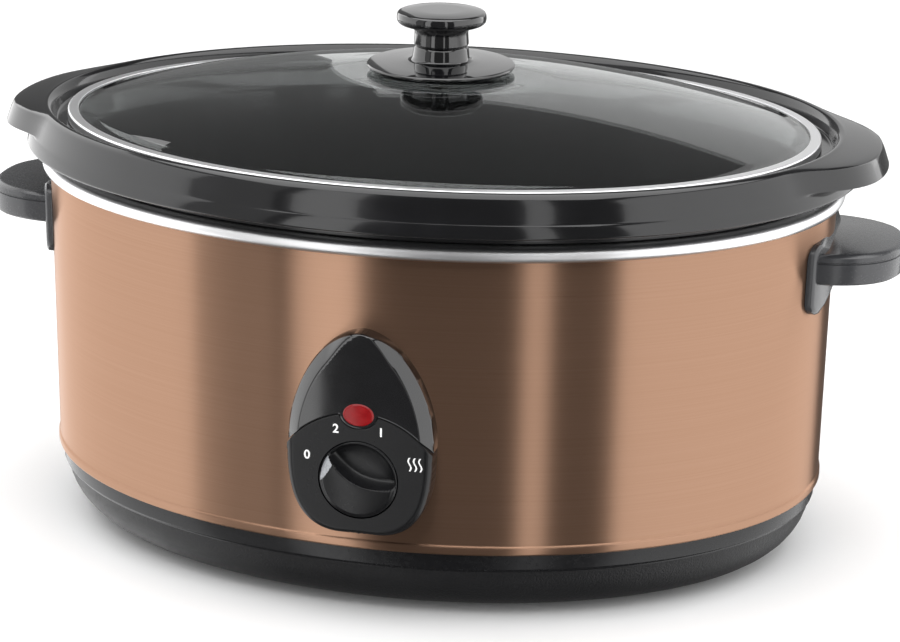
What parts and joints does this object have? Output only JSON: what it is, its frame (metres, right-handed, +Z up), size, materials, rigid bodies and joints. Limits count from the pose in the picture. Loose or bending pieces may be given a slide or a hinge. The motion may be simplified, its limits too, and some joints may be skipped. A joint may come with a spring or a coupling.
{
  "type": "slow cooker",
  "caption": "Oval countertop slow cooker: heated housing with side handles and a front dial, lift-out eared crock and a domed glass lid with a knob.",
  "frame": {"origin": "on the surface it stands on, under the middle of the body", "axes": "+X along the length through the handles, -Y towards the control panel, +Z up"},
  "size_m": [0.423, 0.29, 0.2393],
  "materials": {
    "copper_steel": "brushed copper-tinted stainless",
    "bright_steel": "polished",
    "zinc_steel": "zinc plated",
    "black_base": "satin black with a fine texture",
    "black_plastic": "satin black",
    "gloss_black": "gloss black",
    "red_lens": "clear red",
    "switch_plastic": "plain",
    "wire_sleeve": "heat-proof sleeve",
    "mica": "mica and foil heating ribbon",
    "brass": "plain",
    "rubber": "matt",
    "lamp_glass": "clear",
    "crock_glaze": "black glaze",
    "clear_glass": "clear tempered"
  },
  "bodies": {
    "housing": {"outer_shell": "copper_steel", "heating_liner": "bright_steel", "heating_band": "mica", "band_springs": "zinc_steel", "base": "black_base", "rubber_feet": "rubber", "heat_shield": "zinc_steel", "tie_bolt": "zinc_steel", "tie_nut": "zinc_steel", "tie_spacers": "zinc_steel", "thermal_fuse": "zinc_steel", "control_panel": "black_plastic", "panel_cover": "gloss_black", "indicator_lens": "red_lens", "neon_lamp": "lamp_glass", "panel_screws": "zinc_steel", "rotary_switch": "switch_plastic", "switch_nut": "brass", "right_handle": "black_plastic", "left_handle": "black_plastic", "handle_screws": "zinc_steel", "cord_gland": "black_plastic", "terminal_block": "switch_plastic", "live_wire": "wire_sleeve", "neutral_wire": "wire_sleeve", "earth_wire": "wire_sleeve"},
    "dial": {"selector_knob": "black_plastic", "switch_shaft": "brass"},
    "crock": {"crock": "crock_glaze"},
    "lid": {"lid_glass": "clear_glass", "lid_band": "bright_steel", "knob_gasket": "rubber", "knob_flange": "gloss_black", "lid_knob": "gloss_black", "knob_washer": "zinc_steel", "knob_screw": "zinc_steel"}
  },
  "joints": [
    {"name": "dial_turn", "type": "hinge", "parent": "housing", "child": "dial", "pos_m": [0, -0.138, 0.0671], "axis": [0, 1, 0], "range_deg": [0, 135]},
    {"name": "crock_lift", "type": "slide", "parent": "housing", "child": "crock", "axis": [0, 0, 1], "range_m": [0, 0.16]},
    {"name": "lid_lift", "type": "slide", "parent": "crock", "child": "lid", "axis": [0, 0, 1], "range_m": [0, 0.1]}
  ]
}
